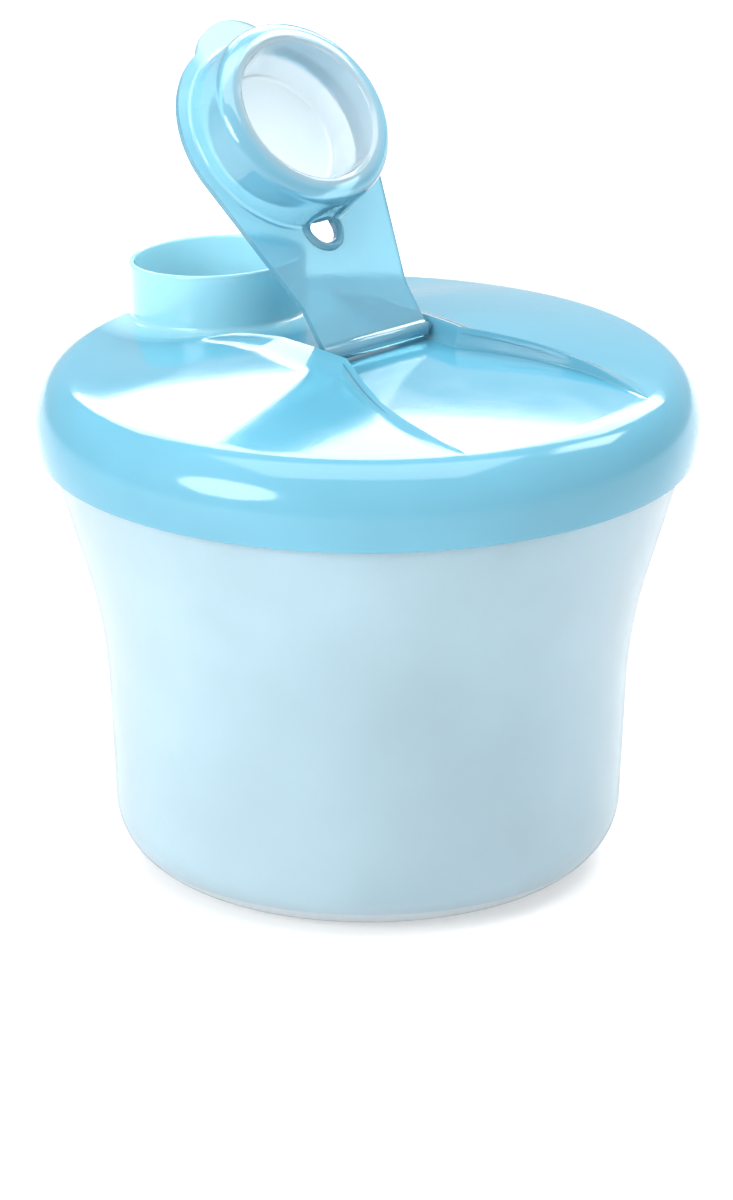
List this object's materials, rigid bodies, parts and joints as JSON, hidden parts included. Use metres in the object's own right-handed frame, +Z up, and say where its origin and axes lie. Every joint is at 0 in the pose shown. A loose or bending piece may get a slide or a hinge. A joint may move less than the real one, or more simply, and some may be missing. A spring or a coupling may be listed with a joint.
{
  "type": "formula dispenser",
  "caption": "Round milk powder dispenser: frosted flared bowl, lift-out vaned divider, turning lid with a leaning pouring spout, and a hinged flip cap.",
  "frame": {"origin": "centre of the bowl's flat foot, on the axis of revolution, on the surface that it stands on", "axes": "+Z up along the bowl's axis, -Y the front, +X to the right seen from the front; the spout points between -X and +Y, 133 degrees from +X"},
  "size_m": [0.11, 0.11, 0.1381],
  "materials": {
    "bowl_frosted": "translucent milky polypropylene, satin",
    "divider_frosted": "translucent milky polypropylene, satin",
    "lid_blue": "glossy translucent sky blue polypropylene",
    "cap_blue": "glossy translucent sky blue polypropylene"
  },
  "bodies": {
    "bowl": {"bowl": "bowl_frosted"},
    "divider": {"divider": "divider_frosted"},
    "lid": {"lid": "lid_blue"},
    "spout_cap": {"spout_cap": "cap_blue"}
  },
  "joints": [
    {"name": "insert_lift", "type": "slide", "parent": "bowl", "child": "divider", "axis": [0, 0, 1], "range_m": [0, 0.085]},
    {"name": "lid_turn", "type": "hinge", "parent": "divider", "child": "lid", "pos_m": [0, 0, 0.08], "axis": [0, 0, 1], "continuous": true},
    {"name": "cap_hinge", "type": "hinge", "parent": "lid", "child": "spout_cap", "pos_m": [0.00089, -0.00095, 0.0895], "axis": [0.7314, 0.682, 0], "range_deg": [-55, 79]}
  ]
}
